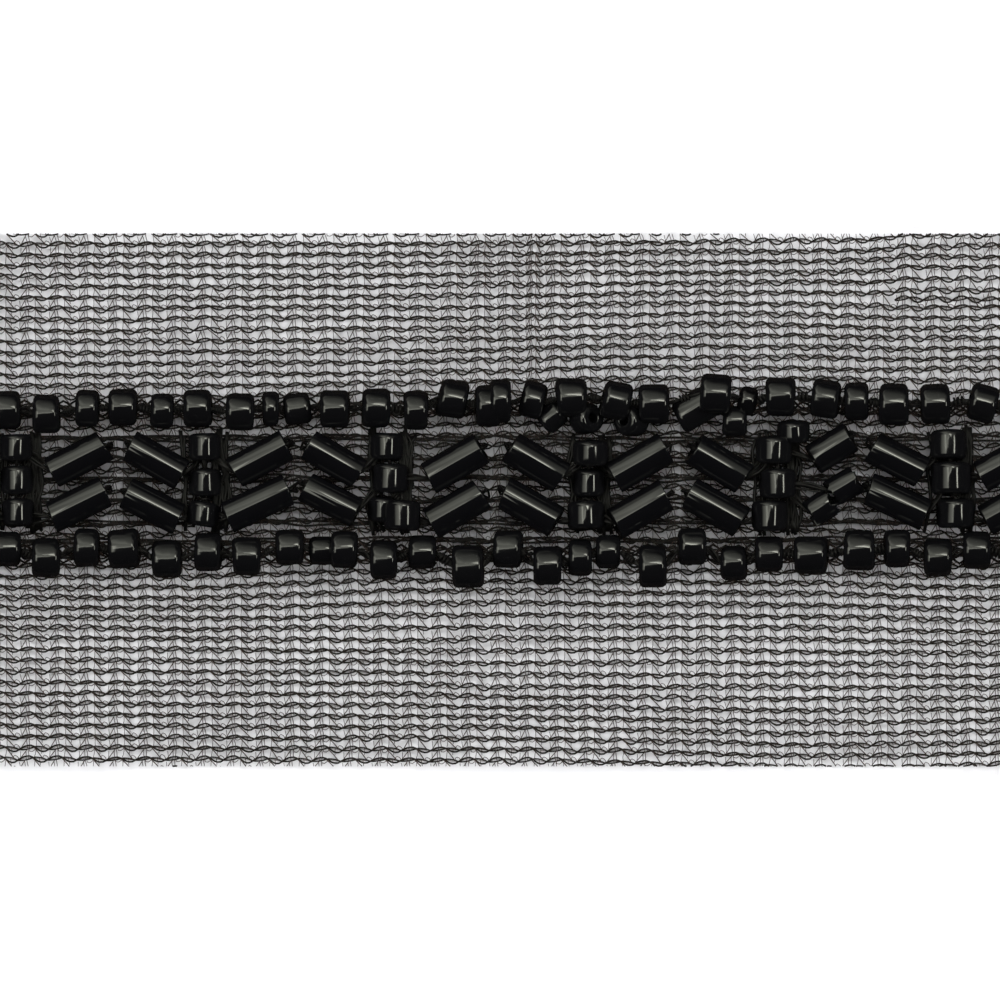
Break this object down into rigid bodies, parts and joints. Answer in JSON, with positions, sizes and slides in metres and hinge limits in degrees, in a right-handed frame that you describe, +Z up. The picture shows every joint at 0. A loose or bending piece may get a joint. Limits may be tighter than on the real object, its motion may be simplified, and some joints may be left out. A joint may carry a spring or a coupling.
{
  "type": "beaded lace trim",
  "caption": "Narrow strip of black net with a band of black glass beads sewn along its middle, cut to length and lying flat, for sewing onto garments and edges.",
  "frame": {"origin": "middle of the net's underside, on the surface that the trim lies on", "axes": "+X along the trim's length, +Y across it towards the upper edge of the picture, +Z up out of the beaded face"},
  "size_m": [0.069, 0.0318, 0.0041],
  "materials": {
    "net_yarn": "dull black fine filament yarn, knitted into an open net",
    "seed_glass": "opaque black glass, glossy, slightly uneven, with rounded ends",
    "bugle_glass": "opaque black glass tube, glossy, cut square at both ends"
  },
  "bodies": {
    "root": {"net_ground": "net_yarn", "upper_bead_row": "seed_glass", "lower_bead_row": "seed_glass", "column_1": "seed_glass", "column_2": "seed_glass", "column_3": "seed_glass", "column_4": "seed_glass", "column_5": "seed_glass", "column_6": "seed_glass", "bugle_1_left_upper": "bugle_glass", "bugle_1_left_lower": "bugle_glass", "bugle_1_right_upper": "bugle_glass", "bugle_1_right_lower": "bugle_glass", "bugle_2_left_upper": "bugle_glass", "bugle_2_left_lower": "bugle_glass", "bugle_2_right_upper": "bugle_glass", "bugle_2_right_lower": "bugle_glass", "bugle_3_left_upper": "bugle_glass", "bugle_3_left_lower": "bugle_glass", "bugle_3_right_upper": "bugle_glass", "bugle_3_right_lower": "bugle_glass", "bugle_4_left_upper": "bugle_glass", "bugle_4_left_lower": "bugle_glass", "bugle_4_right_upper": "bugle_glass", "bugle_4_right_lower": "bugle_glass", "bugle_5_left_upper": "bugle_glass", "bugle_5_left_lower": "bugle_glass", "bugle_5_right_upper": "bugle_glass", "bugle_6_left_upper": "bugle_glass", "bugle_6_left_lower": "bugle_glass", "bugle_6_right_upper": "bugle_glass", "bugle_6_right_lower": "bugle_glass", "bugle_5_right_chip_outer": "bugle_glass", "bugle_5_right_chip_inner": "bugle_glass"}
  },
  "joints": []
}
